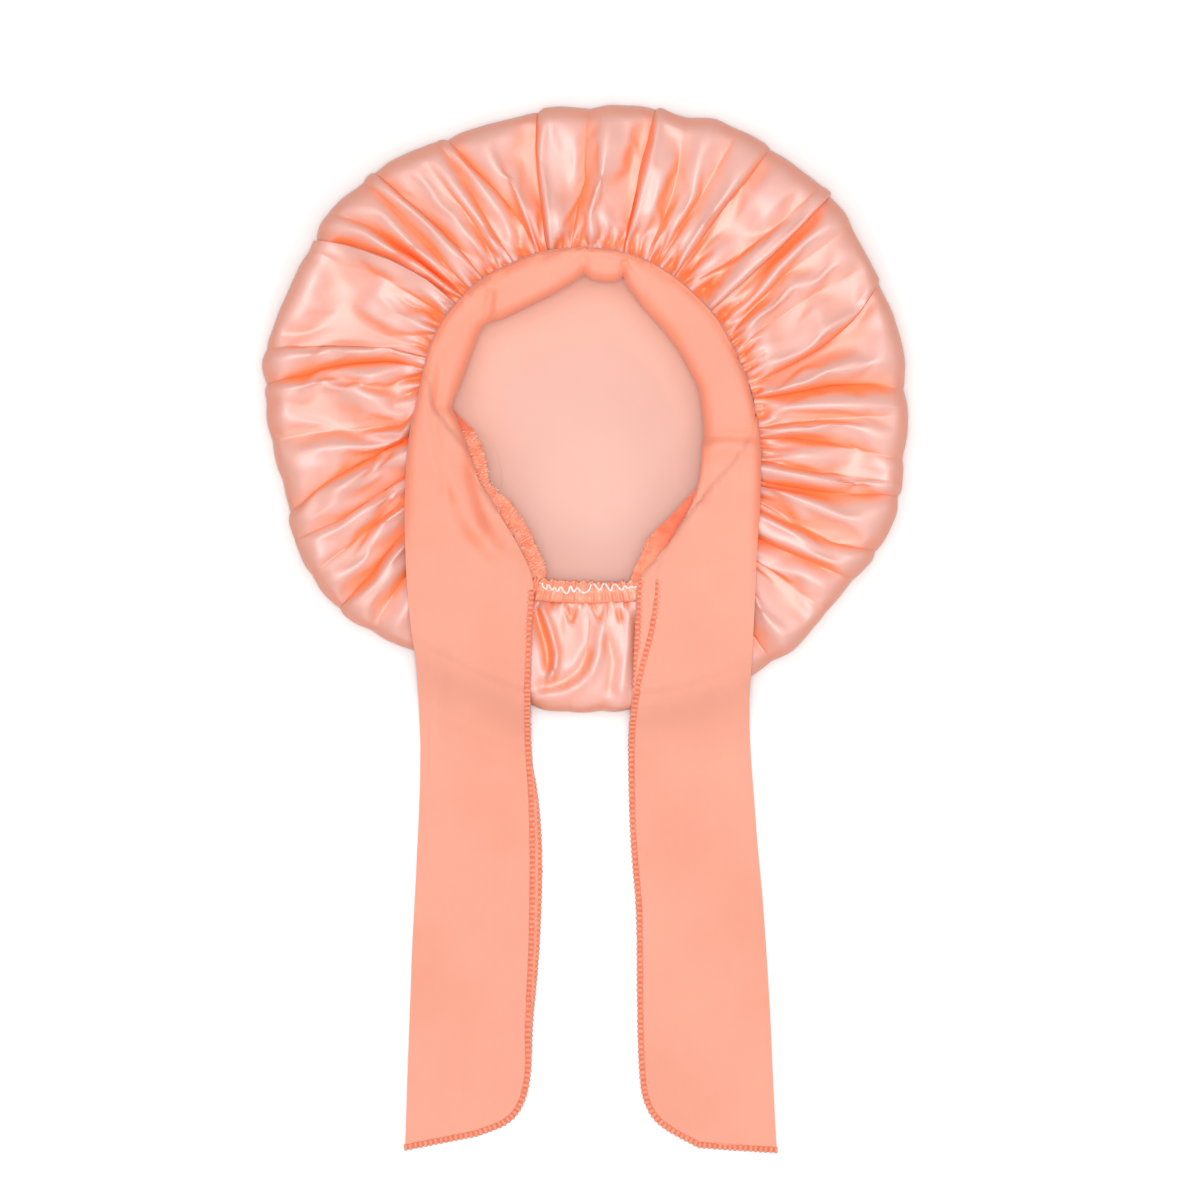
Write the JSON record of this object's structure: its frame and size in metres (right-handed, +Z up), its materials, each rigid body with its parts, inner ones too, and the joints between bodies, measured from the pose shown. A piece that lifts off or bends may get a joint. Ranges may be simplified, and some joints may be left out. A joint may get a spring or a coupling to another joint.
{
  "type": "satin bonnet with tie band",
  "caption": "Round gathered satin bonnet, lying on its crown with the opening up; a folded jersey band is sewn round the opening and runs on as long flat ties.",
  "frame": {"origin": "on the surface that the crown lies on, below the middle of the opening", "axes": "+Z up out of the opening; -Y along the ties, so +Y towards the front of the bonnet; +X to the right seen from above with the ties towards the viewer"},
  "size_m": [0.3513, 0.5721, 0.0405],
  "materials": {
    "satin": "glossy peach satin, dull on its wrong side",
    "jersey": "matte peach stretch jersey, folded double",
    "overlocked_seam": "overlocked seam allowance, matte, deeper orange",
    "nape_satin": "satin turned over elastic, finely gathered, white zigzag thread"
  },
  "bodies": {
    "root": {"crown": "satin", "tie_band": "jersey", "band_seam": "overlocked_seam", "nape_elastic": "nape_satin"}
  },
  "joints": []
}
